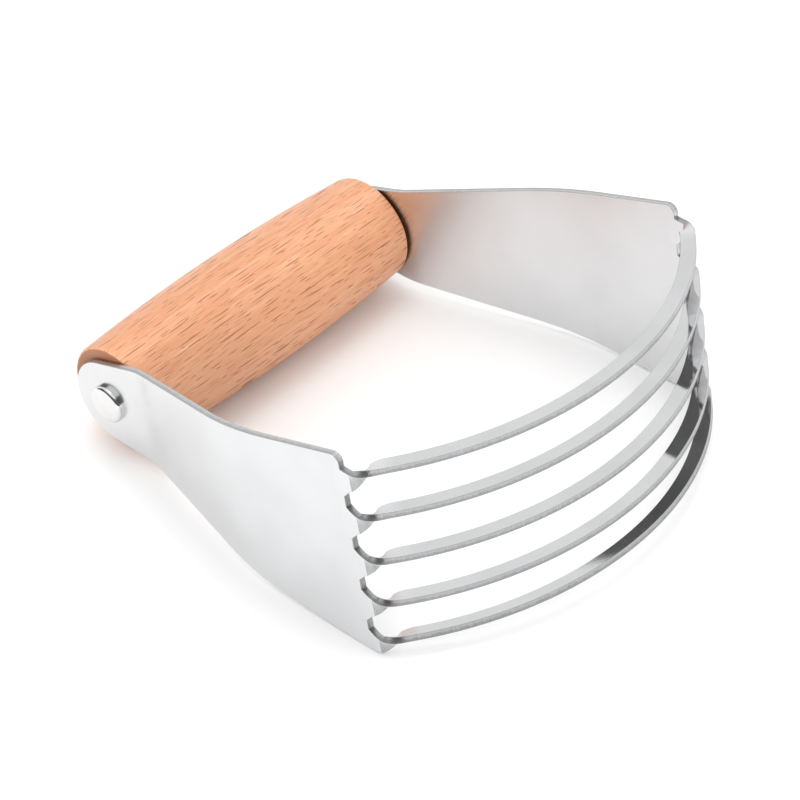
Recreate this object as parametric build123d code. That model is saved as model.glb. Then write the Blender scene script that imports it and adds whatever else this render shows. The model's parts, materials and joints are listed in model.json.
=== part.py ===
"""Pastry blender: five arched blades between two side plates, with a turned wooden handle.

The design frame has its origin at the middle of the handle. Y runs along the handle, X runs from
the handle to the blades and Z runs up the stack of blades. At the end every node is tilted and
lifted so that the tool lies on a floor at Z = 0, on its handle and on the lower plate corners.
All lengths are millimetres and all angles are degrees.
"""

import os
from math import asin, atan2, cos, degrees, hypot, radians, sin, sqrt, tan

from build123d import *

# Sheet metal
SHEET = 1.5

# Handle: a wooden barrel that turns freely on the tie rod
HANDLE_LENGTH = 86.0
HANDLE_MID_RADIUS = 15.0
HANDLE_END_RADIUS = 13.3
HANDLE_RIM = 0.8
HANDLE_END_GAP = 0.5
RUNNING_CLEARANCE = 0.05

# Tie rod and its two domed heads
ROD_RADIUS = 2.5
HEAD_RADIUS = 4.8
HEAD_HEIGHT = 2.0
HEAD_CROWN = 0.6
HEAD_SHOULDER = 1.0

# Side plates: outline seen along the handle
NOSE_RADIUS = 10.5
PLATE_END_X = 88.6
PLATE_HALF_ANGLE = 9.65
PLATE_CORNER = 2.0

# Side plates: S bend seen along the blade stack
PLATE_INNER_Y = HANDLE_LENGTH / 2 + HANDLE_END_GAP
PLATE_END_Y = PLATE_INNER_Y + 11.3
LOWER_BEND_X = 12.2
LOWER_BEND_RADIUS = 25.0
UPPER_BEND_X = 55.0
UPPER_BEND_RADIUS = 85.0

# Blades, numbered from the top. Each one is hand set, so its arch sits a little below or above its
# root and leans a little out of its own plane.
BLADE_COUNT = 5
BLADE_PITCH = 10.87
BLADE_WIDTH = 3.5
ARC_RADIUS = 78.0
ARC_CENTRE_X = 38.6
BLADE_DROPS = (-0.4, 0.0, 0.7, 1.1, 0.0)
BLADE_CANTS = (0.0, 0.0, 0.0, -1.7, -9.5)

# Blade roots: each strip leaves the plate on edge, with its edges flared into the plate end. Then it
# twists flat on its way into the arch, quickly at first and slowly further on.
CORNER_RADIUS = 6.0
LOWER_FLARE_LENGTH = 5.5
LOWER_FLARE = 3.0
UPPER_FLARE_LENGTH = 3.2
UPPER_FLARE = 1.6
TOP_STRIP_FLARE = 0.5
TWIST_START = 2.4
TWIST_END = 10.4
STRAIGHT_SECTIONS = 7
TWIST_SECTIONS = 17

# The line that a blade's outer edge follows: a short lead, a corner arc, then the main arc
PATH_START_Y = PLATE_END_Y + SHEET / 2
CORNER_CENTRE_Y = PATH_START_Y - CORNER_RADIUS
CORNER_CENTRE_X = ARC_CENTRE_X + sqrt((ARC_RADIUS - CORNER_RADIUS) ** 2 - CORNER_CENTRE_Y**2)
LEAD_LENGTH = CORNER_CENTRE_X - PLATE_END_X
JOIN_ANGLE = degrees(atan2(CORNER_CENTRE_Y, CORNER_CENTRE_X - ARC_CENTRE_X))
CORNER_LENGTH = CORNER_RADIUS * radians(90 - JOIN_ANGLE)
FLAT_ANGLE = JOIN_ANGLE - degrees((TWIST_END - LEAD_LENGTH - CORNER_LENGTH) / ARC_RADIUS)


def plate_half_height(x):
    """Half height of a side plate at a distance x from the handle axis."""
    angle = radians(PLATE_HALF_ANGLE)
    return NOSE_RADIUS / cos(angle) + x * tan(angle)


def strip_top(number):
    """Height of the upper edge of a strip, with strip 1 on top."""
    return ((BLADE_COUNT + 1) / 2 - number) * BLADE_PITCH


def plate_outline():
    """Face in the XZ plane: a round nose, straight flaring sides and a straight end."""
    angle = radians(PLATE_HALF_ANGLE)
    tangent = (-NOSE_RADIUS * sin(angle), NOSE_RADIUS * cos(angle))
    end = (PLATE_END_X, plate_half_height(PLATE_END_X))
    with BuildSketch(Plane.XZ) as outline:
        with BuildLine():
            ThreePointArc(tangent, (-NOSE_RADIUS, 0), (tangent[0], -tangent[1]))
            Line((tangent[0], -tangent[1]), (end[0], -end[1]))
            Line((end[0], -end[1]), end)
            Line(end, tangent)
        make_face()
        fillet(outline.vertices().sort_by(Axis.Y)[-1], PLATE_CORNER)
    return outline.sketch


def plate_profile():
    """Face in the XY plane: the left sheet seen edge on, bent outwards and back to parallel."""
    inner_corners = (
        (-NOSE_RADIUS, PLATE_INNER_Y),
        (LOWER_BEND_X, PLATE_INNER_Y),
        (UPPER_BEND_X, PLATE_END_Y),
        (PLATE_END_X, PLATE_END_Y),
    )
    with BuildSketch(Plane.XY) as profile:
        with BuildLine():
            FilletPolyline(*inner_corners, radius=(LOWER_BEND_RADIUS, UPPER_BEND_RADIUS))
            offset(amount=SHEET, side=Side.LEFT)
        make_face()
    return profile.sketch


def left_plate():
    """Side plate on the +Y side, with a hole for the tie rod."""
    sheet = extrude(plate_profile(), amount=plate_half_height(PLATE_END_X) + 1, both=True)
    stencil = extrude(plate_outline(), amount=2 * PLATE_END_Y, both=True)
    hole = Pos(0, PLATE_INNER_Y, 0) * Rot(90, 0, 0) * Cylinder(ROD_RADIUS, 4 * SHEET)
    return (sheet & stencil) - hole


def outer_edge(distance):
    """Point on the line of a blade's outer edge, and the direction facing out of the arch there."""
    if distance < LEAD_LENGTH:
        return Vector(PLATE_END_X + distance, PATH_START_Y, 0), 90.0
    if distance < LEAD_LENGTH + CORNER_LENGTH:
        angle = 90 - degrees((distance - LEAD_LENGTH) / CORNER_RADIUS)
        centre = Vector(CORNER_CENTRE_X, CORNER_CENTRE_Y, 0)
        radius = CORNER_RADIUS
    else:
        angle = JOIN_ANGLE - degrees((distance - LEAD_LENGTH - CORNER_LENGTH) / ARC_RADIUS)
        centre = Vector(ARC_CENTRE_X, 0, 0)
        radius = ARC_RADIUS
    return centre + Vector(radius, 0, 0).rotate(Axis.Z, angle), angle


def flares(number, distance):
    """Extra height above and below a strip close to the plate end, where it curves into the plate."""
    above = TOP_STRIP_FLARE if number == 1 else UPPER_FLARE
    below = LOWER_FLARE
    if number == BLADE_COUNT:
        below = plate_half_height(PLATE_END_X) + strip_top(number) - BLADE_WIDTH
    above *= max(0, 1 - distance / UPPER_FLARE_LENGTH) ** 2
    below *= max(0, 1 - distance / LOWER_FLARE_LENGTH) ** 2
    return above, below


def twist_share(distance):
    """How much of its quarter turn a strip has made at a distance from the plate end."""
    share = sqrt(max(0, distance - TWIST_START) / (TWIST_END - TWIST_START))
    return (3 - 2 * share) * share**2


def strip_section(number, distance):
    """Cross-section of a strip at a distance from the plate end, measured along its outer edge."""
    point, facing = outer_edge(distance)
    share = twist_share(distance)
    twist = radians((90 + BLADE_CANTS[number - 1]) * share)
    height = strip_top(number) - BLADE_DROPS[number - 1] * share
    inward = Vector(-1, 0, 0).rotate(Axis.Z, facing)
    across = Vector(0, 0, -cos(twist)) + inward * sin(twist)
    along = Vector(0, -1, 0).rotate(Axis.Z, facing)
    above, below = flares(number, distance)
    centre = point + Vector(0, 0, height) + across * (BLADE_WIDTH + below - above) / 2
    return Plane(origin=centre, x_dir=across, z_dir=along) * Rectangle(BLADE_WIDTH + above + below, SHEET)


def strip_run(number, start, end, count):
    """Solid through evenly spaced cross-sections of a strip, from one distance to another."""
    step = (end - start) / (count - 1)
    return loft([strip_section(number, start + step * i) for i in range(count)])


def blade(number):
    """One strip: a flat arch with a flared and twisted root at each end."""
    flared = strip_run(number, 0, TWIST_START, STRAIGHT_SECTIONS)
    root = flared + strip_run(number, TWIST_START, TWIST_END, TWIST_SECTIONS)
    centre_line = Axis((ARC_CENTRE_X, 0, 0), (0, 0, -1))
    arch = revolve(strip_section(number, TWIST_END), axis=centre_line, revolution_arc=2 * FLAT_ANGLE)
    return arch + root + mirror(root, about=Plane.XZ)


def tie_rod():
    """Plain rod that ends flush with the outer faces of the plates."""
    return Rot(90, 0, 0) * Cylinder(ROD_RADIUS, 2 * (PLATE_INNER_Y + SHEET))


def left_rod_head():
    """Button head with a low crown and a round shoulder, seated on the outer face of the left plate."""
    shoulder_y = HEAD_HEIGHT - HEAD_CROWN
    crown_radius = (HEAD_RADIUS**2 + HEAD_CROWN**2) / (2 * HEAD_CROWN)
    crown_span = degrees(asin(HEAD_RADIUS / crown_radius))
    with BuildPart() as button:
        with BuildSketch(Plane.XY) as profile:
            with BuildLine():
                Line((0, HEAD_HEIGHT), (0, 0))
                Line((0, 0), (HEAD_RADIUS, 0))
                Line((HEAD_RADIUS, 0), (HEAD_RADIUS, shoulder_y))
                CenterArc((0, HEAD_HEIGHT - crown_radius), crown_radius, 90 - crown_span, crown_span)
            make_face()
            fillet(profile.vertices().group_by(Axis.X)[-1].sort_by(Axis.Y)[-1], HEAD_SHOULDER)
        revolve(axis=Axis.Y)
    return Pos(0, PLATE_INNER_Y + SHEET, 0) * button.part


def handle():
    """Barrel turned about the Y axis, with eased rims and a bore for the tie rod."""
    half = HANDLE_LENGTH / 2
    bore = ROD_RADIUS + RUNNING_CLEARANCE
    right_rim = (HANDLE_END_RADIUS, -half)
    left_rim = (HANDLE_END_RADIUS, half)
    with BuildPart() as barrel:
        with BuildSketch(Plane.XY) as profile:
            with BuildLine():
                Line((bore, -half), right_rim)
                ThreePointArc(right_rim, (HANDLE_MID_RADIUS, 0), left_rim)
                Line(left_rim, (bore, half))
                Line((bore, half), (bore, -half))
            make_face()
            fillet(profile.vertices().group_by(Axis.X)[-1], HANDLE_RIM)
        revolve(axis=Axis.Y)
    return barrel.part


def rest_tilt():
    """Tilt at which the barrel and the lower plate corners touch the same floor."""
    corner_drop = plate_half_height(PLATE_END_X)
    reach = hypot(PLATE_END_X, corner_drop)
    return degrees(atan2(corner_drop, PLATE_END_X) - asin(HANDLE_MID_RADIUS / reach))


def design_nodes():
    """Every node in the design frame, by name."""
    plate = left_plate()
    head = left_rod_head()
    nodes = {
        "handle": handle(),
        "tie_rod": tie_rod(),
        "rod_head_left": head,
        "rod_head_right": mirror(head, about=Plane.XZ),
        "side_plate_left": plate,
        "side_plate_right": mirror(plate, about=Plane.XZ),
    }
    for number in range(1, BLADE_COUNT + 1):
        nodes[f"blade_{number}"] = blade(number)
    return nodes


def lay_on_floor(nodes):
    """Tilt every node into the resting pose and centre the tool over the origin."""
    lift = Pos(0, 0, HANDLE_MID_RADIUS) * Rot(0, -rest_tilt(), 0)
    laid = {name: lift * shape for name, shape in nodes.items()}
    boxes = [shape.bounding_box() for shape in laid.values()]
    middle_x = (min(box.min.X for box in boxes) + max(box.max.X for box in boxes)) / 2
    return {name: Pos(-middle_x, 0, 0) * shape for name, shape in laid.items()}


def main():
    os.makedirs("parts", exist_ok=True)
    for name, shape in lay_on_floor(design_nodes()).items():
        export_step(shape, f"parts/{name}.step")


main()
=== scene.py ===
"""Looks for the pastry blender: sheet metal with sheared edges, a beech handle and polished rod heads.

Shapes are worked out in a design frame (origin at the middle of the handle, Y along the handle, X
towards the blades, Z up the stack of blades) and then laid down at the tool's resting tilt.
All lengths are metres.
"""

import json
import math
from collections import namedtuple

import bpy
from mathutils import Matrix, Vector

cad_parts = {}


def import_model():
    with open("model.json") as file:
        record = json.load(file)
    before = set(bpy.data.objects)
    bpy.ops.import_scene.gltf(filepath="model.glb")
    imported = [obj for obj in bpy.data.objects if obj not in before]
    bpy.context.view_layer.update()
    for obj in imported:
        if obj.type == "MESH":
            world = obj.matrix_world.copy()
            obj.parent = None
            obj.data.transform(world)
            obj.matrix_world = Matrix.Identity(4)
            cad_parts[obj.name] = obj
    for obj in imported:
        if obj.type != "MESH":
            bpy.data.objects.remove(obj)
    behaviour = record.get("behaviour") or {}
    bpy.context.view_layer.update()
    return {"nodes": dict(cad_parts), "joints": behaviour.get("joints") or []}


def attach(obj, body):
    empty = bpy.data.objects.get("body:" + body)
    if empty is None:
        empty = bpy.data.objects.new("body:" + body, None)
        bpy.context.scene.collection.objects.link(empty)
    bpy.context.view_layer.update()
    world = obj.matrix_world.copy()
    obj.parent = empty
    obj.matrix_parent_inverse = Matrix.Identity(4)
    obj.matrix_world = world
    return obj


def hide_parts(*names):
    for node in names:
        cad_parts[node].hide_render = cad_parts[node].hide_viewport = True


MM = 0.001
QUARTER_TURN = math.pi / 2

# Sheet metal
SHEET = 1.5 * MM
EDGE_ROUND = 0.09 * MM
ROUND_STEPS = 2

# Side plates
NOSE_RADIUS = 10.5 * MM
PLATE_END_X = 88.6 * MM
PLATE_HALF_ANGLE = math.radians(9.65)
PLATE_CORNER = 2.0 * MM
PLATE_INNER_Y = 43.5 * MM
PLATE_END_Y = 54.8 * MM
LOWER_BEND_X = 12.2 * MM
LOWER_BEND_RADIUS = 25.0 * MM
UPPER_BEND_X = 55.0 * MM
UPPER_BEND_RADIUS = 85.0 * MM
NOSE_STEPS = 24
EDGE_STEPS = 90
CORNER_STEPS = 10
END_STEPS = 40

# Blades. Drops and cants are for blade 1 to blade 5.
BLADE_COUNT = 5
BLADE_PITCH = 10.87 * MM
BLADE_WIDTH = 3.5 * MM
BLADE_DROPS = (-0.4 * MM, 0.0, 0.7 * MM, 1.1 * MM, 0.0)
BLADE_CANTS = (0.0, 0.0, 0.0, math.radians(-1.7), math.radians(-9.5))
ARC_RADIUS = 78.0 * MM
ARC_CENTRE_X = 38.6 * MM
CORNER_RADIUS = 6.0 * MM
LOWER_FLARE_LENGTH = 5.5 * MM
LOWER_FLARE = 3.0 * MM
UPPER_FLARE_LENGTH = 3.2 * MM
UPPER_FLARE = 1.6 * MM
TOP_STRIP_FLARE = 0.5 * MM
TWIST_START = 2.4 * MM
TWIST_END = 10.4 * MM
TANG_LENGTH = 2.0 * MM
TANG_PROUD = 0.002 * MM
ROOT_STEP = 0.35 * MM
ARCH_STEP = 1.2 * MM

# The outer edge line of a blade: a straight lead, a tight corner, then half of the wide arc
PATH_START_Y = PLATE_END_Y + SHEET / 2
CORNER_CENTRE_Y = PATH_START_Y - CORNER_RADIUS
CORNER_CENTRE_X = ARC_CENTRE_X + math.sqrt((ARC_RADIUS - CORNER_RADIUS) ** 2 - CORNER_CENTRE_Y**2)
LEAD_LENGTH = CORNER_CENTRE_X - PLATE_END_X
JOIN_ANGLE = math.atan2(CORNER_CENTRE_Y, CORNER_CENTRE_X - ARC_CENTRE_X)
CORNER_LENGTH = CORNER_RADIUS * (QUARTER_TURN - JOIN_ANGLE)
HALF_LENGTH = LEAD_LENGTH + CORNER_LENGTH + ARC_RADIUS * JOIN_ANGLE

# Handle. RIM_SHARE is how much of the rim's radius comes off each end of the bellied body, and
# END_RING_SHARE places an extra ring of points on the flat end, just inside the rim.
HANDLE_LENGTH = 86.0 * MM
HANDLE_MID_RADIUS = 15.0 * MM
HANDLE_END_RADIUS = 13.3 * MM
HANDLE_RIM = 0.8 * MM
RIM_SHARE = 0.98
END_RING_SHARE = 0.98
BORE_RADIUS = 2.55 * MM
BORE_EASE = 0.15 * MM
RIM_STEPS = 8
BODY_STEPS = 60
HANDLE_SEGMENTS = 160

# Rod heads
HEAD_RADIUS = 4.8 * MM
HEAD_HEIGHT = 2.0 * MM
HEAD_CROWN = 0.6 * MM
HEAD_SHOULDER = 1.0 * MM
SHOULDER_STEPS = 12
CROWN_STEPS = 20
HEAD_SEGMENTS = 72

# Metal finishes: grey level and roughness of the rolled faces and of the sheared edges. A swing is
# what a pattern multiplies them by, from its low end to its high end.
Finish = namedtuple("Finish", "tone roughness cut_tone cut_roughness")
PLATE_FINISH = Finish(0.735, 0.24, 0.5, 0.34)
BLADE_FINISH = Finish(0.68, 0.035, 0.37, 0.36)
TONE_SWING = (0.96, 1.02)
GRAIN_SWING = (0.985, 1.01)
ROUGHNESS_SWING = (0.88, 1.12)
SCRAPE_SWING = (0.92, 1.08)
CUT_TONE_SWING = (1.1, 0.88)
CUT_ROUGHNESS_SWING = (0.8, 1.2)
STEEL_TINT = (0.985, 0.99, 1.0, 1)
SEED_SHIFT = (0.037, 0.051, 0.01)
SHEET_BUMP = (0.2, 0.008 * MM)
SCRAPE_HEIGHT = 1.2

# Depths through a sheet, from -1 to 1: where an edge turns into a face, and where the sheared band
# turns from smooth to torn
FACE_DEPTH = (0.985, 0.999)
TORN_DEPTH = (-0.08, 0.12)
TORN_RAGGED = 0.3

# Blade roots: where along a blade the plates' finish gives way, and where the crinkles begin
ROOT_FADE = (TWIST_END * 1.3, TWIST_END * 0.75)
CRINKLE_FADE = (TWIST_START * 0.8, TWIST_START * 1.6)
CRINKLE_HEIGHT = 9.0
CRINKLE_ROUGHNESS = 0.46

# Rod and rod heads
HEAD_TONE, HEAD_ROUGHNESS = 0.76, 0.06
ROD_TONE, ROD_ROUGHNESS = 0.6, 0.3
ROD_TONE_SWING = (0.96, 1.0)
ROD_ROUGHNESS_SWING = (0.7, 1.5)
ROD_BUMP = (0.25, 0.01 * MM)

# Noise patterns: cells in a metre along each axis, detail, roughness
ROLLING = ((250, 5000, 1), 2.0, 0.5)
CLOUD = ((70, 70, 70), 3.0, 0.5)
SPECKS = ((4200, 4200, 4200), 2.0, 0.5)
CRINKLE = ((260, 900, 1), 2.0, 0.5)
TEAR = ((900, 700, 1), 3.0, 0.6)
SCRAPE = ((4200, 400, 1), 2.0, 0.5)
ROD_MARKS = ((3200, 3200, 3200), 3.0, 0.5)
ROD_CLOUD = ((300, 300, 300), 2.0, 0.5)
WOOD_PATTERNS = {
    "tone": ((420, 9, 420), 4.0, 0.6),
    "broad": ((110, 14, 110), 2.0, 0.5),
    "pores": ((5200, 420, 5200), 2.0, 0.6),
    "streaks": ((1900, 45, 1900), 3.0, 0.6),
}
FLOOR_CLOUD = ((3, 3, 3), 2.0, 0.5)

# The values that a noise pattern mostly takes, for soft, fine and rolled patterns
SOFT = (0.3, 0.7)
FINE = (0.3, 0.75)
ROLLED = (0.25, 0.75)

# Beech
BEECH_GLOSS = {"Specular IOR Level": 0.35, "Coat Weight": 0.06, "Coat Roughness": 0.3}
BEECH_PALE = (0.78, 0.47, 0.3, 1)
BEECH_LIGHT = (0.68, 0.35, 0.2, 1)
BEECH_MID = (0.63, 0.285, 0.148, 1)
BEECH_WARM = (0.57, 0.24, 0.115, 1)
BEECH_DARK = (0.44, 0.17, 0.08, 1)
BEECH_RAY = (0.24, 0.088, 0.036, 1)
# Painted shade: the flat ends of the handle, in the narrow gap by the plates, are painted this dark
# brown
BEECH_END_SHADE = (0.3, 0.125, 0.06, 1)

# Layers over BEECH_LIGHT: the pattern, the values that it fades in over, its strength, its colour
BEECH_LAYERS = (
    ("tone", SOFT, 1.0, BEECH_MID),
    ("broad", (0.35, 0.7), 0.35, BEECH_WARM),
    ("bands", (-1.0, 1.0), 0.14, BEECH_WARM),
    ("streaks", (0.52, 0.72), 0.4, BEECH_MID),
    ("streaks", (0.46, 0.3), 0.4, BEECH_PALE),
    ("pores", (0.56, 0.74), 0.35, BEECH_DARK),
)
# Distances from the middle of the handle over which the painted end shade fades in, at the flat ends
END_SHADE_SPAN = (HANDLE_LENGTH / 2 - HANDLE_RIM * 0.12, HANDLE_LENGTH / 2 - HANDLE_RIM * 0.02)
BEECH_ROUGHNESS = (0.36, 0.5)
BEECH_BUMP = (0.4, 0.03 * MM)
PORE_HEIGHT = -0.35
STREAK_HEIGHT = -0.3
GRAIN_TURN = math.radians(-38.0)
WANDER_CELLS = (60, 12, 60)
WANDER_DETAIL = 2.0
WANDER_MIDDLE = (0.5, 0.5, 0.5)
WANDER_REACH = (4.0 * MM, 0.0, 4.0 * MM)
BAND_SPACING = 3.4 * MM

# Ray dashes: cell size, half width of a dash, its greatest half length in cells, offset in cells
RaySet = namedtuple("RaySet", "cell width reach offset")
RAY_SETS = (
    RaySet((1.7 * MM, 12.0 * MM, 2.2 * MM), 0.14 * MM, 0.46, (0.0, 0.0, 0.0)),
    RaySet((1.2 * MM, 6.5 * MM, 1.8 * MM), 0.11 * MM, 0.45, (3.7, 1.3, 5.1)),
)
RAY_SCATTER = 0.9
RAY_SOFTNESS = 0.4
RAY_STRENGTH = 0.85
SHORTEST_RAY = 0.3
FAINTEST_RAY = 0.35
FAINTNESS_SPREAD = (0.1, 0.9)

# Studio. The dark part of the world is round the direction DARK_SIDE. DARK_NEAR is where its sides
# fade, in how far a ray points that way, and DARK_RISE is where its top fades, in how far it points up.
DARK_SIDE = (0.12, -0.99, 0.0)
DARK_NEAR = (0.19, 0.25)
DARK_RISE = (0.7, 0.62)
WORLD_DIFFUSE = 1.27
WORLD_LIGHT = 1.0
WORLD_DARK = 0.13
FLOOR_HALF = 1.6
FLOOR_TONES = (0.86, 0.87)
FLOOR_GLOSS = {"Roughness": 0.75, "Specular IOR Level": 0.2}

# Area lights: place, aim, size, power
OVERHEAD = ((-0.1, 0.1, 1.0), (0, 0, 0), (0.5, 0.5), 2.0)
FRONT_FILL = ((0.62, -0.66, 0.14), (0, 0, 0.02), (0.7, 0.26), 6.2)

# Camera
CAMERA_AT = Vector((0.35523, -0.36698, 0.42498))
CAMERA_AIM = Vector((0.00252, -0.00553, 0.0179))
CAMERA_ROLL = math.radians(-3.79)
CAMERA_LENS = 129.25
CAMERA_SENSOR = 36
CAMERA_CLIP = 0.01


def plate_half_height(x):
    return NOSE_RADIUS / math.cos(PLATE_HALF_ANGLE) + x * math.tan(PLATE_HALF_ANGLE)


def strip_top(number):
    return ((BLADE_COUNT + 1) / 2 - number) * BLADE_PITCH


def rest_matrix(handle_axis):
    """Design frame to row frame: tilted so that barrel and lower plate corners meet the floor."""
    drop = plate_half_height(PLATE_END_X)
    reach = math.hypot(PLATE_END_X, drop)
    tilt = math.atan2(drop, PLATE_END_X) - math.asin(handle_axis.z / reach)
    return Matrix.Translation(handle_axis) @ Matrix.Rotation(-tilt, 4, "Y")


# Meshes


def facing_out(points, faces):
    """Faces that are wound alike, all turned over if the volume they enclose comes out negative."""
    volume = 0
    for face in faces:
        corner = points[face[0]]
        for second, third in zip(face[1:], face[2:]):
            volume += corner.dot(points[second].cross(points[third]))
    return faces if volume > 0 else [tuple(reversed(face)) for face in faces]


def add_mesh(name, points, normals, faces, uvs, depths, matrix):
    """Mesh object with smooth analytic normals, a UV map in metres and a sheet depth attribute."""
    mesh = bpy.data.meshes.new(name)
    mesh.from_pydata([matrix @ p for p in points], [], facing_out(points, faces))
    uv_layer = mesh.uv_layers.new(name="sheet_uv")
    for loop in mesh.loops:
        uv_layer.data[loop.index].uv = uvs[loop.vertex_index]
    depth = mesh.attributes.new("sheet_depth", "FLOAT", "POINT")
    depth.data.foreach_set("value", depths)
    mesh.shade_smooth()
    turn = matrix.to_3x3()
    mesh.normals_split_custom_set_from_vertices([turn @ n for n in normals])
    obj = bpy.data.objects.new(name, mesh)
    bpy.context.scene.collection.objects.link(obj)
    return obj


def edge_profile():
    """Half turn round a sheet edge: (inset, depth, slope) from one face of the sheet to the other."""
    flat = SHEET / 2 - EDGE_ROUND
    turns = [QUARTER_TURN * i / ROUND_STEPS for i in range(ROUND_STEPS + 1)]
    upper = [(EDGE_ROUND * (1 - math.sin(t)), flat + EDGE_ROUND * math.cos(t), t) for t in turns]
    lower = [(inset, -depth, math.pi - t) for inset, depth, t in reversed(upper)]
    return upper + lower


# Blades


def outer_edge(distance):
    """Point on a blade's outer edge line and the angle that faces out of the arch there."""
    if distance < LEAD_LENGTH:
        return Vector((PLATE_END_X + distance, PATH_START_Y, 0)), QUARTER_TURN
    if distance < LEAD_LENGTH + CORNER_LENGTH:
        angle = QUARTER_TURN - (distance - LEAD_LENGTH) / CORNER_RADIUS
        centre, radius = Vector((CORNER_CENTRE_X, CORNER_CENTRE_Y, 0)), CORNER_RADIUS
    else:
        angle = JOIN_ANGLE - (distance - LEAD_LENGTH - CORNER_LENGTH) / ARC_RADIUS
        centre, radius = Vector((ARC_CENTRE_X, 0, 0)), ARC_RADIUS
    return centre + radius * Vector((math.cos(angle), math.sin(angle), 0)), angle


def flares(number, distance):
    """Extra height above and below a strip where it curves into the plate, and in the tang."""
    above = TOP_STRIP_FLARE if number == 1 else UPPER_FLARE
    below = LOWER_FLARE
    if number == BLADE_COUNT:
        below = plate_half_height(PLATE_END_X + min(distance, 0)) + strip_top(number) - BLADE_WIDTH
    distance = max(0, distance)
    above *= max(0, 1 - distance / UPPER_FLARE_LENGTH) ** 2
    below *= max(0, 1 - distance / LOWER_FLARE_LENGTH) ** 2
    return above, below


def twist_share(distance):
    """How much of its quarter turn a strip has made at a distance from the plate end."""
    share = math.sqrt(min(1, max(0, distance - TWIST_START) / (TWIST_END - TWIST_START)))
    return (3 - 2 * share) * share**2


def strip_ring(number, distance):
    """Section of a strip from its upper edge to its lower: (point, normal, across, depth) all round."""
    point, facing = outer_edge(distance)
    share = twist_share(distance)
    twist = (QUARTER_TURN + BLADE_CANTS[number - 1]) * share
    inward = -Vector((math.cos(facing), math.sin(facing), 0))
    across = Vector((0, 0, -math.cos(twist))) + inward * math.sin(twist)
    through = -inward * math.cos(twist) + Vector((0, 0, -math.sin(twist)))
    start = point + Vector((0, 0, strip_top(number) - BLADE_DROPS[number - 1] * share))
    above, below = flares(number, distance)
    low = BLADE_WIDTH + below + TANG_PROUD
    proud = 1 + 2 * TANG_PROUD / SHEET
    upper_edge = [(inset - above, depth, turn, -across) for inset, depth, turn in edge_profile()]
    lower_edge = [(low - inset, depth, turn, across) for inset, depth, turn in reversed(edge_profile())]
    ring = []
    for place, depth, turn, outward in upper_edge + lower_edge:
        normal = outward * math.sin(turn) + through * math.cos(turn)
        ring.append((start + across * place + through * depth * proud, normal, place, depth))
    return ring


def mirror_ring(ring):
    flip = Vector((1, -1, 1))
    return [(p * flip, n * flip, across, depth) for p, n, across, depth in ring]


def blade_distances():
    """Stations along half a blade, close together in the twisted root."""
    stations = [-TANG_LENGTH, -TANG_LENGTH / 2]
    steps = round(TWIST_END / ROOT_STEP)
    stations += [TWIST_END * i / steps for i in range(steps + 1)]
    steps = round((HALF_LENGTH - TWIST_END) / ARCH_STEP)
    stations += [TWIST_END + (HALF_LENGTH - TWIST_END) * i / steps for i in range(1, steps + 1)]
    return stations


def make_blade(number, matrix):
    left = [(d, strip_ring(number, d)) for d in blade_distances()]
    right = [(2 * HALF_LENGTH - d, mirror_ring(ring)) for d, ring in reversed(left[:-1])]
    points, normals, uvs, depths, faces = [], [], [], [], []
    for distance, ring in left + right:
        for point, normal, across, depth in ring:
            points.append(point)
            normals.append(normal)
            uvs.append((distance, across))
            depths.append(depth / (SHEET / 2))
    size = len(left[0][1])
    count = len(left) + len(right)
    for i in range(count - 1):
        for j in range(size):
            k = (j + 1) % size
            faces.append((i * size + j, i * size + k, (i + 1) * size + k, (i + 1) * size + j))
    faces.append(tuple(reversed(range(size))))
    faces.append(tuple(range((count - 1) * size, count * size)))
    return add_mesh(f"blade_{number}_strip", points, normals, faces, uvs, depths, matrix)


# Side plates


def plate_path():
    """Middle line of the left sheet in plan: a function from x to (y, slope angle)."""
    slope = math.atan2(PLATE_END_Y - PLATE_INNER_Y, UPPER_BEND_X - LOWER_BEND_X)
    reach_low = LOWER_BEND_RADIUS * math.tan(slope / 2)
    reach_up = UPPER_BEND_RADIUS * math.tan(slope / 2)

    def at(x):
        if x < LOWER_BEND_X - reach_low:
            y, angle = PLATE_INNER_Y, 0.0
        elif x < LOWER_BEND_X + reach_low * math.cos(slope):
            angle = math.asin((x - LOWER_BEND_X + reach_low) / LOWER_BEND_RADIUS)
            y = PLATE_INNER_Y + LOWER_BEND_RADIUS * (1 - math.cos(angle))
        elif x < UPPER_BEND_X - reach_up * math.cos(slope):
            angle = slope
            y = PLATE_INNER_Y + (x - LOWER_BEND_X) * math.tan(slope)
        elif x < UPPER_BEND_X + reach_up:
            angle = math.asin((UPPER_BEND_X + reach_up - x) / UPPER_BEND_RADIUS)
            y = PLATE_END_Y - UPPER_BEND_RADIUS * (1 - math.cos(angle))
        else:
            y, angle = PLATE_END_Y, 0.0
        return y, angle

    return at


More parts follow.
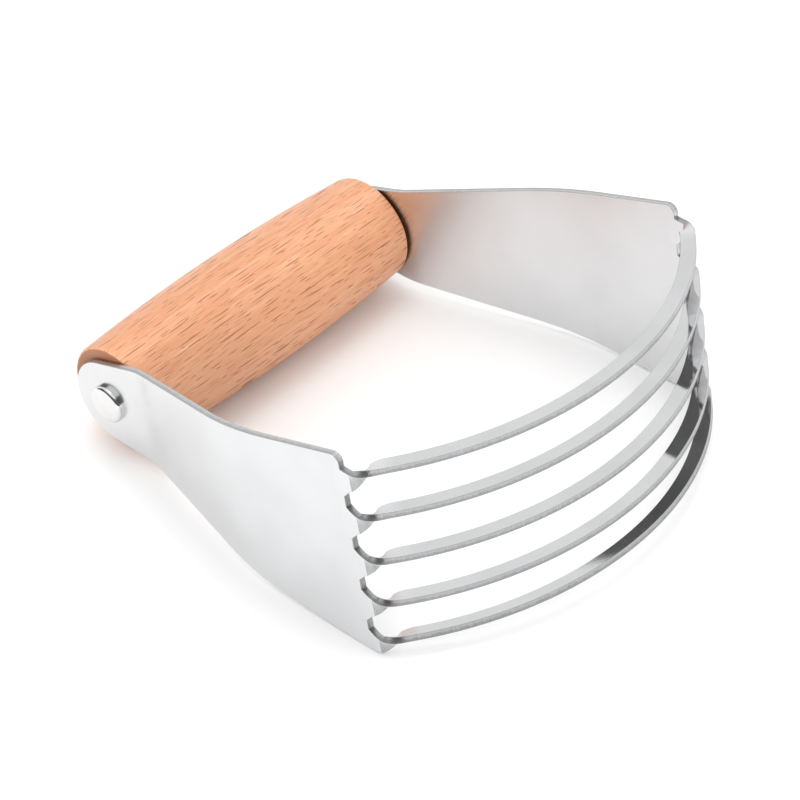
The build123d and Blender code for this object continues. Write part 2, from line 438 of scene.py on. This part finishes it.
def plate_outline():
    """Upper and lower edge of the plate as matching (place, outward normal) lists, nose to end."""
    edge_turn = QUARTER_TURN + PLATE_HALF_ANGLE
    straight = Vector((math.cos(edge_turn), math.sin(edge_turn)))
    below = Vector((1, -1))
    upper, lower = [], []
    for i in range(NOSE_STEPS + 1):
        angle = math.pi - (math.pi - edge_turn) * i / NOSE_STEPS
        outward = Vector((math.cos(angle), math.sin(angle)))
        upper.append((outward * NOSE_RADIUS, outward))
        lower.append((outward * below * NOSE_RADIUS, outward * below))
    start_x = upper[-1][0].x
    last_x = PLATE_END_X - PLATE_CORNER * math.tan(edge_turn / 2) * math.cos(PLATE_HALF_ANGLE)
    for i in range(1, EDGE_STEPS + 1):
        x = start_x + (last_x - start_x) * i / EDGE_STEPS
        upper.append((Vector((x, plate_half_height(x))), straight))
        lower.append((Vector((x, -plate_half_height(x))), straight * below))
    centre = upper[-1][0] - straight * PLATE_CORNER
    low_end_x = PLATE_END_X - 2 * EDGE_ROUND
    for i in range(1, CORNER_STEPS + 1):
        angle = edge_turn * (1 - i / CORNER_STEPS)
        outward = Vector((math.cos(angle), math.sin(angle)))
        upper.append((centre + outward * PLATE_CORNER, outward))
        x = last_x + (low_end_x - last_x) * i / CORNER_STEPS
        lower.append((Vector((x, -plate_half_height(x))), straight * below))
    return upper, lower


def plate_faces(count, size, length):
    """Faces of a plate whose edge loop has count sections of size points. The first length sections
    are the upper edge from end to nose, and the lower edge and the end follow."""
    faces = []
    for i in range(count):
        following = (i + 1) % count
        for j in range(size - 1):
            here, there = i * size + j, following * size + j
            faces.append((here, here + 1, there + 1, there))
    nose = length - 1
    flat = []
    for k in range(nose):
        quad = (nose - k, nose - k - 1, nose + k + 1, nose + k)
        flat.append(tuple(dict.fromkeys(quad)))
    flat.append((0, *range(count - 1, 2 * nose - 1, -1)))
    faces += [tuple(i * size for i in reversed(face)) for face in flat]
    faces += [tuple(i * size + size - 1 for i in face) for face in flat]
    return faces


def make_plate(name, side, matrix):
    """Bent plate with rounded edges all the way round. side is 1 for the left one, -1 for the right."""
    path = plate_path()
    upper, lower = plate_outline()
    top, bottom = upper[-1][0], lower[-1][0]
    end_edge = [(bottom.lerp(top, i / END_STEPS), Vector((1, 0))) for i in range(1, END_STEPS)]
    loop = list(reversed(upper)) + lower[1:] + end_edge
    profile = edge_profile()
    points, normals, uvs, depths = [], [], [], []
    for edge, outward in loop:
        for inset, depth, turn in profile:
            flat = edge - outward * inset
            y, slope = path(flat.x)
            across = Vector((-math.sin(slope), math.cos(slope), 0))
            out = Vector((math.cos(slope) * outward.x, math.sin(slope) * outward.x, outward.y))
            p = Vector((flat.x, y, flat.y)) + across * (SHEET / 2 + depth)
            n = out * math.sin(turn) + across * math.cos(turn)
            points.append(Vector((p.x, p.y * side, p.z)))
            normals.append(Vector((n.x, n.y * side, n.z)))
            uvs.append((flat.x, flat.y))
            depths.append(depth / (SHEET / 2))
    faces = plate_faces(len(loop), len(profile), len(upper))
    return add_mesh(name, points, normals, faces, uvs, depths, matrix)


# Handle and rod heads


def make_turned(name, outline, axis_point, segments, bored=False):
    """Solid of revolution about a line along Y. outline is (y, radius, normal y, normal radius)."""
    points, normals, uvs, faces = [], [], [], []
    for y, radius, normal_y, normal_r in outline:
        for i in range(segments):
            angle = 2 * math.pi * i / segments
            spoke = Vector((math.cos(angle), 0, math.sin(angle)))
            points.append(axis_point + spoke * radius + Vector((0, y, 0)))
            normals.append(spoke * normal_r + Vector((0, normal_y, 0)))
            uvs.append((angle * HANDLE_MID_RADIUS, y))
    count = len(outline)
    for ring in range(count if bored else count - 1):
        row, following = ring * segments, (ring + 1) % count * segments
        for i in range(segments):
            j = (i + 1) % segments
            faces.append((row + i, row + j, following + j, following + i))
    if not bored:
        faces.append(tuple(reversed(range(segments))))
        faces.append(tuple(range(len(points) - segments, len(points))))
    return add_mesh(name, points, normals, faces, uvs, [0.0] * len(points), Matrix.Identity(4))


def barrel_outline():
    """Turned and bored barrel from the right end to the left end, with eased rims."""
    half = HANDLE_LENGTH / 2
    sag = HANDLE_MID_RADIUS - HANDLE_END_RADIUS
    belly = (half**2 + sag**2) / (2 * sag)
    body_half = half - HANDLE_RIM * RIM_SHARE
    lean = math.asin(body_half / belly)
    rim_centre = HANDLE_MID_RADIUS - belly + (belly - HANDLE_RIM) * math.cos(lean)
    outline = [
        (BORE_EASE - half, BORE_RADIUS, 0.0, -1.0),
        (-half, BORE_RADIUS + BORE_EASE, -1.0, 0.0),
        (-half, rim_centre * END_RING_SHARE, -1.0, 0.0),
    ]
    for i in range(RIM_STEPS + 1):
        turn = (QUARTER_TURN - lean) * i / RIM_STEPS
        y = HANDLE_RIM * (1 - math.cos(turn)) - half
        radius = rim_centre + HANDLE_RIM * math.sin(turn)
        outline.append((y, radius, -math.cos(turn), math.sin(turn)))
    other_end = [(-y, r, -ny, nr) for y, r, ny, nr in reversed(outline)]
    for i in range(1, BODY_STEPS):
        y = body_half * (2 * i / BODY_STEPS - 1)
        turn = math.asin(y / belly)
        radius = HANDLE_MID_RADIUS - belly * (1 - math.cos(turn))
        outline.append((y, radius, math.sin(turn), math.cos(turn)))
    return outline + other_end


def dome_outline(side):
    """Button head on its plate: a straight lip, a round shoulder and a low crown."""
    crown = (HEAD_RADIUS**2 + HEAD_CROWN**2) / (2 * HEAD_CROWN)
    seat = PLATE_INNER_Y + SHEET
    centre_y = HEAD_HEIGHT - crown
    round_x = HEAD_RADIUS - HEAD_SHOULDER
    round_y = centre_y + math.sqrt((crown - HEAD_SHOULDER) ** 2 - round_x**2)
    lean = math.atan2(round_x, round_y - centre_y)
    outline = [(seat, HEAD_RADIUS, 0.0, 1.0), (seat + round_y, HEAD_RADIUS, 0.0, 1.0)]
    for i in range(1, SHOULDER_STEPS + 1):
        turn = QUARTER_TURN + (lean - QUARTER_TURN) * i / SHOULDER_STEPS
        y = seat + round_y + HEAD_SHOULDER * math.cos(turn)
        outline.append((y, round_x + HEAD_SHOULDER * math.sin(turn), math.cos(turn), math.sin(turn)))
    for i in range(1, CROWN_STEPS):
        turn = lean * (1 - i / CROWN_STEPS)
        y = seat + centre_y + crown * math.cos(turn)
        outline.append((y, crown * math.sin(turn), math.cos(turn), math.sin(turn)))
    return [(y * side, r, ny * side, nr) for y, r, ny, nr in outline]


# Materials


class Nodes:
    """Short names for building a node tree."""

    def __init__(self, tree):
        self.tree = tree

    def add(self, kind, inputs=None, **settings):
        node = self.tree.nodes.new(kind)
        for key, value in settings.items():
            setattr(node, key, value)
        for key, value in (inputs or {}).items():
            if isinstance(value, bpy.types.NodeSocket):
                self.tree.links.new(value, node.inputs[key])
            else:
                node.inputs[key].default_value = value
        return node

    def math(self, operation, first, second=0.0):
        return self.add("ShaderNodeMath", {0: first, 1: second}, operation=operation).outputs[0]

    def times(self, first, second):
        return self.math("MULTIPLY", first, second)

    def vector(self, operation, first, second):
        return self.add("ShaderNodeVectorMath", {0: first, 1: second}, operation=operation).outputs[0]

    def axes(self, vector):
        return self.add("ShaderNodeSeparateXYZ", {0: vector}).outputs

    def ramp(self, value, start, end, low=0.0, high=1.0):
        """Smooth step from low, where value is start, to high, where it is end."""
        node = self.add(
            "ShaderNodeMapRange",
            {"Value": value, "From Min": start, "From Max": end, "To Min": low, "To Max": high},
            interpolation_type="SMOOTHSTEP",
        )
        return node.outputs["Result"]

    def mix(self, factor, first, second):
        return self.add("ShaderNodeMix", {0: factor, 2: first, 3: second}).outputs[0]

    def mix_colour(self, factor, first, second):
        node = self.add("ShaderNodeMix", {0: factor, 6: first, 7: second}, data_type="RGBA")
        return node.outputs[2]

    def mapping(self, vector, location=(0, 0, 0), rotation=(0, 0, 0), scale=(1, 1, 1)):
        inputs = {"Vector": vector, "Location": location, "Rotation": rotation, "Scale": scale}
        return self.add("ShaderNodeMapping", inputs).outputs["Vector"]

    def noise(self, vector, cells, detail, roughness):
        placed = self.mapping(vector, scale=cells)
        inputs = {"Vector": placed, "Scale": 1.0, "Detail": detail, "Roughness": roughness}
        return self.add("ShaderNodeTexNoise", inputs).outputs["Fac"]

    def bump(self, height, strength, distance):
        inputs = {"Height": height, "Strength": strength, "Distance": distance}
        return self.add("ShaderNodeBump", inputs).outputs["Normal"]


def new_material(name, fixed):
    """Material with a Principled shader whose uniform settings are put on its own sockets."""
    material = bpy.data.materials.new(name)
    material.use_nodes = True
    nodes = Nodes(material.node_tree)
    shader = material.node_tree.nodes["Principled BSDF"]
    for key, value in fixed.items():
        shader.inputs[key].default_value = value

    def link(key, socket):
        material.node_tree.links.new(socket, shader.inputs[key])

    return material, nodes, link


def grey(value):
    return (value, value, value, 1)


def swung(value, swing):
    return value * swing[0], value * swing[1]


def root_masks(nodes, uv):
    """Masks of a blade's roots: the finish of the plates, and the crinkled part past the plate."""
    past_middle = nodes.math("SUBTRACT", nodes.axes(uv)["X"], HALF_LENGTH)
    run = nodes.math("SUBTRACT", HALF_LENGTH, nodes.math("ABSOLUTE", past_middle))
    return nodes.ramp(run, *ROOT_FADE), nodes.ramp(run, *CRINKLE_FADE)


def sheared_edge(nodes, placed, depth, finish):
    """A smooth band, then a rougher torn band with a ragged line between them."""
    ragged = nodes.ramp(nodes.noise(placed, *TEAR), *SOFT, -TORN_RAGGED, TORN_RAGGED)
    torn = nodes.ramp(nodes.math("ADD", depth, ragged), *TORN_DEPTH)
    scrape = nodes.noise(placed, *SCRAPE)
    tone = nodes.ramp(torn, 0, 1, *swung(finish.cut_tone, CUT_TONE_SWING))
    tone = nodes.times(tone, nodes.ramp(scrape, *SOFT, *SCRAPE_SWING))
    rough = nodes.ramp(torn, 0, 1, *swung(finish.cut_roughness, CUT_ROUGHNESS_SWING))
    height = nodes.math("ADD", torn, nodes.times(scrape, SCRAPE_HEIGHT))
    return tone, rough, height


def sheet_material(name, finish, seed, bent=False):
    """Rolled stainless sheet: fine rolling grain on the faces, a sheared band round the edges.

    A bent sheet takes the plates' finish at its roots, with crinkled metal where it twists.
    """
    material, nodes, link = new_material(name, {"Metallic": 1.0})
    uv = nodes.add("ShaderNodeUVMap", uv_map="sheet_uv").outputs["UV"]
    depth = nodes.add("ShaderNodeAttribute", attribute_name="sheet_depth").outputs["Fac"]
    placed = nodes.mapping(uv, location=[seed * shift for shift in SEED_SHIFT])
    grain = nodes.noise(placed, *ROLLING)
    cloud = nodes.noise(placed, *CLOUD)
    tone = nodes.ramp(cloud, *SOFT, *swung(finish.tone, TONE_SWING))
    tone = nodes.times(tone, nodes.ramp(grain, *ROLLED, *GRAIN_SWING))
    rough = nodes.ramp(cloud, *SOFT, *swung(finish.roughness, ROUGHNESS_SWING))
    if bent:
        root, crinkled = root_masks(nodes, uv)
        tone = nodes.mix(root, tone, PLATE_FINISH.tone)
        root_rough = nodes.ramp(crinkled, 0, 1, PLATE_FINISH.roughness, CRINKLE_ROUGHNESS)
        rough = nodes.mix(root, rough, root_rough)
        crinkle = nodes.times(nodes.noise(placed, *CRINKLE), nodes.times(root, crinkled))
        grain = nodes.math("ADD", grain, nodes.times(crinkle, CRINKLE_HEIGHT))
    height = nodes.math("ADD", grain, nodes.noise(placed, *SPECKS))
    cut_tone, cut_rough, cut_height = sheared_edge(nodes, placed, depth, finish)
    face = nodes.ramp(nodes.math("ABSOLUTE", depth), *FACE_DEPTH)
    link("Base Color", nodes.mix_colour(nodes.mix(face, cut_tone, tone), grey(0.0), STEEL_TINT))
    link("Roughness", nodes.mix(face, cut_rough, rough))
    link("Normal", nodes.bump(nodes.mix(face, cut_height, height), *SHEET_BUMP))
    return material


def ray_dashes(nodes, grain):
    """Mask of short dashes along the grain, each in its own cell, of uneven length and strength."""
    rays = 0.0
    for rays_here in RAY_SETS:
        width = rays_here.width / rays_here.cell[0]
        scaled = nodes.mapping(grain, location=rays_here.offset, scale=[1 / c for c in rays_here.cell])
        inputs = {"Vector": scaled, "Scale": 1.0, "Randomness": RAY_SCATTER}
        cell = nodes.add("ShaderNodeTexVoronoi", inputs).outputs
        away = nodes.axes(nodes.vector("SUBTRACT", scaled, cell["Position"]))
        chance = nodes.add("ShaderNodeSeparateColor", {0: cell["Color"]}).outputs
        length = nodes.ramp(chance[0], 0, 1, rays_here.reach * SHORTEST_RAY, rays_here.reach)
        taper = nodes.math("POWER", nodes.math("DIVIDE", nodes.math("ABSOLUTE", away["Y"]), length), 2.0)
        limit = nodes.times(nodes.math("SUBTRACT", 1.0, taper), width)
        inside = nodes.math("SUBTRACT", limit, nodes.math("ABSOLUTE", away["X"]))
        mark = nodes.ramp(inside, 0.0, width * RAY_SOFTNESS)
        mark = nodes.times(mark, nodes.ramp(chance[1], *FAINTNESS_SPREAD, FAINTEST_RAY, 1.0))
        rays = nodes.math("MAXIMUM", rays, mark)
    return rays


def grain_coordinates(nodes, centred):
    """Coordinates turned so that Z is across the growth bands, with a slow wander along the grain."""
    turned = nodes.mapping(centred, rotation=(0, GRAIN_TURN, 0))
    inputs = {"Vector": nodes.mapping(turned, scale=WANDER_CELLS), "Scale": 1.0, "Detail": WANDER_DETAIL}
    wander = nodes.add("ShaderNodeTexNoise", inputs).outputs["Color"]
    shift = nodes.vector("MULTIPLY", nodes.vector("SUBTRACT", wander, WANDER_MIDDLE), WANDER_REACH)
    return nodes.vector("ADD", turned, shift)


def beech_material(axis_point):
    """Oiled beech: fine pores, growth bands, short brown ray dashes along the grain, and painted shade
    on the flat ends.
    """
    material, nodes, link = new_material("beech", BEECH_GLOSS)
    coords = nodes.add("ShaderNodeTexCoord").outputs["Object"]
    centred = nodes.mapping(coords, location=tuple(-axis_point))
    grain = grain_coordinates(nodes, centred)
    patterns = {name: nodes.noise(grain, *pattern) for name, pattern in WOOD_PATTERNS.items()}
    pores = patterns["pores"]
    across_bands = nodes.axes(grain)["Z"]
    patterns["bands"] = nodes.math("SINE", nodes.times(across_bands, 2 * math.pi / BAND_SPACING))
    rays = ray_dashes(nodes, grain)
    from_middle = nodes.math("ABSOLUTE", nodes.axes(centred)["Y"])
    colour = BEECH_LIGHT
    for name, span, strength, layer in BEECH_LAYERS:
        colour = nodes.mix_colour(nodes.ramp(patterns[name], *span, 0.0, strength), colour, layer)
    colour = nodes.mix_colour(nodes.times(rays, RAY_STRENGTH), colour, BEECH_RAY)
    # Painted shade on the flat ends, where they sit in the narrow gap by the plates
    colour = nodes.mix_colour(nodes.ramp(from_middle, *END_SHADE_SPAN), colour, BEECH_END_SHADE)
    height = nodes.math("SUBTRACT", nodes.times(pores, PORE_HEIGHT), rays)
    height = nodes.math("ADD", height, nodes.times(patterns["streaks"], STREAK_HEIGHT))
    link("Base Color", colour)
    link("Roughness", nodes.ramp(pores, *FINE, *BEECH_ROUGHNESS))
    link("Normal", nodes.bump(height, *BEECH_BUMP))
    return material


def rod_material(name, tone, roughness):
    """Turned or polished metal: very fine marks and slight unevenness."""
    material, nodes, link = new_material(name, {"Metallic": 1.0})
    coords = nodes.add("ShaderNodeTexCoord").outputs["Object"]
    marks = nodes.noise(coords, *ROD_MARKS)
    cloud = nodes.noise(coords, *ROD_CLOUD)
    low, high = swung(tone, ROD_TONE_SWING)
    link("Base Color", nodes.mix_colour(nodes.ramp(cloud, *SOFT), grey(low), grey(high)))
    link("Roughness", nodes.ramp(marks, *FINE, *swung(roughness, ROD_ROUGHNESS_SWING)))
    link("Normal", nodes.bump(nodes.math("ADD", cloud, marks), *ROD_BUMP))
    return material


def floor_material():
    material, nodes, link = new_material("studio_floor", FLOOR_GLOSS)
    coords = nodes.add("ShaderNodeTexCoord").outputs["Object"]
    low, high = FLOOR_TONES
    link("Base Color", nodes.mix_colour(nodes.noise(coords, *FLOOR_CLOUD), grey(low), grey(high)))
    return material


# Light and camera


def light_world():
    """White studio surroundings. Reflections also see a low dark side, as of a room behind a camera."""
    world = bpy.data.worlds.new("studio")
    bpy.context.scene.world = world
    world.use_nodes = True
    nodes = Nodes(world.node_tree)
    direction = nodes.add("ShaderNodeTexCoord").outputs["Generated"]
    towards = nodes.add("ShaderNodeVectorMath", {0: direction, 1: DARK_SIDE}, operation="DOT_PRODUCT")
    near = nodes.ramp(towards.outputs["Value"], *DARK_NEAR)
    dark = nodes.times(near, nodes.ramp(nodes.axes(direction)["Z"], *DARK_RISE))
    mirrored = nodes.mix_colour(dark, grey(WORLD_LIGHT), grey(WORLD_DARK))
    glossy = nodes.add("ShaderNodeLightPath").outputs["Is Glossy Ray"]
    colour = nodes.mix_colour(glossy, grey(WORLD_DIFFUSE), mirrored)
    background = world.node_tree.nodes["Background"]
    world.node_tree.links.new(colour, background.inputs["Color"])


def add_area_light(name, place, aim, size, power):
    light = bpy.data.lights.new(name, "AREA")
    light.shape = "RECTANGLE"
    light.size, light.size_y = size
    light.energy = power
    obj = bpy.data.objects.new(name, light)
    bpy.context.scene.collection.objects.link(obj)
    obj.location = place
    obj.rotation_euler = (Vector(aim) - Vector(place)).to_track_quat("-Z", "Y").to_euler()
    return obj


def add_floor():
    mesh = bpy.data.meshes.new("studio_floor")
    corners = [(x * FLOOR_HALF, y * FLOOR_HALF, 0) for x, y in ((-1, -1), (1, -1), (1, 1), (-1, 1))]
    mesh.from_pydata(corners, [], [(0, 1, 2, 3)])
    floor = bpy.data.objects.new("studio_floor", mesh)
    bpy.context.scene.collection.objects.link(floor)
    floor.data.materials.append(floor_material())


def add_camera():
    data = bpy.data.cameras.new("camera")
    data.lens = CAMERA_LENS
    data.sensor_width = CAMERA_SENSOR
    data.clip_start = CAMERA_CLIP
    camera = bpy.data.objects.new("camera", data)
    bpy.context.scene.collection.objects.link(camera)
    forward = (CAMERA_AIM - CAMERA_AT).normalized()
    level = forward.cross(Vector((0, 0, 1))).normalized()
    right = Matrix.Rotation(-CAMERA_ROLL, 3, forward) @ level
    up = right.cross(forward)
    axes = Matrix((right, up, -forward)).transposed()
    camera.matrix_world = Matrix.Translation(CAMERA_AT) @ axes.to_4x4()
    bpy.context.scene.camera = camera


# The whole scene


def set_material(obj, material):
    obj.data.materials.clear()
    obj.data.materials.append(material)


def finish_piece(piece, material, node, body):
    """Give a piece its material, hide the node that it stands for, and attach it to the body it moves
    with.
    """
    set_material(piece, material)
    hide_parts(node)
    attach(piece, body)


def add_frame_sheets(matrix):
    plate_steel = sheet_material("plate_steel", PLATE_FINISH, 1)
    for side, word in ((1, "left"), (-1, "right")):
        plate = make_plate(f"plate_{word}_sheet", side, matrix)
        finish_piece(plate, plate_steel, f"side_plate_{word}", "frame")
    for number in range(1, BLADE_COUNT + 1):
        strip = make_blade(number, matrix)
        steel = sheet_material(f"blade_steel_{number}", BLADE_FINISH, number + 1, bent=True)
        finish_piece(strip, steel, f"blade_{number}", "frame")


def add_handle_and_heads(axis_point):
    barrel = make_turned("handle_barrel", barrel_outline(), axis_point, HANDLE_SEGMENTS, bored=True)
    finish_piece(barrel, beech_material(axis_point), "handle", "handle")
    polished = rod_material("polished_head", HEAD_TONE, HEAD_ROUGHNESS)
    for side, word in ((1, "left"), (-1, "right")):
        dome = make_turned(f"head_{word}_dome", dome_outline(side), axis_point, HEAD_SEGMENTS)
        finish_piece(dome, polished, f"rod_head_{word}", "frame")


def add_studio():
    bpy.context.scene.view_settings.view_transform = "Standard"
    light_world()
    add_floor()
    add_camera()
    add_area_light("overhead_box", *OVERHEAD)
    fill = add_area_light("front_fill", *FRONT_FILL)
    fill.visible_glossy = False


def main():
    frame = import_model()
    axis_point = Vector(frame["joints"][0]["pos_m"])
    add_frame_sheets(rest_matrix(axis_point))
    add_handle_and_heads(axis_point)
    set_material(frame["nodes"]["tie_rod"], rod_material("rod_steel", ROD_TONE, ROD_ROUGHNESS))
    add_studio()


main()
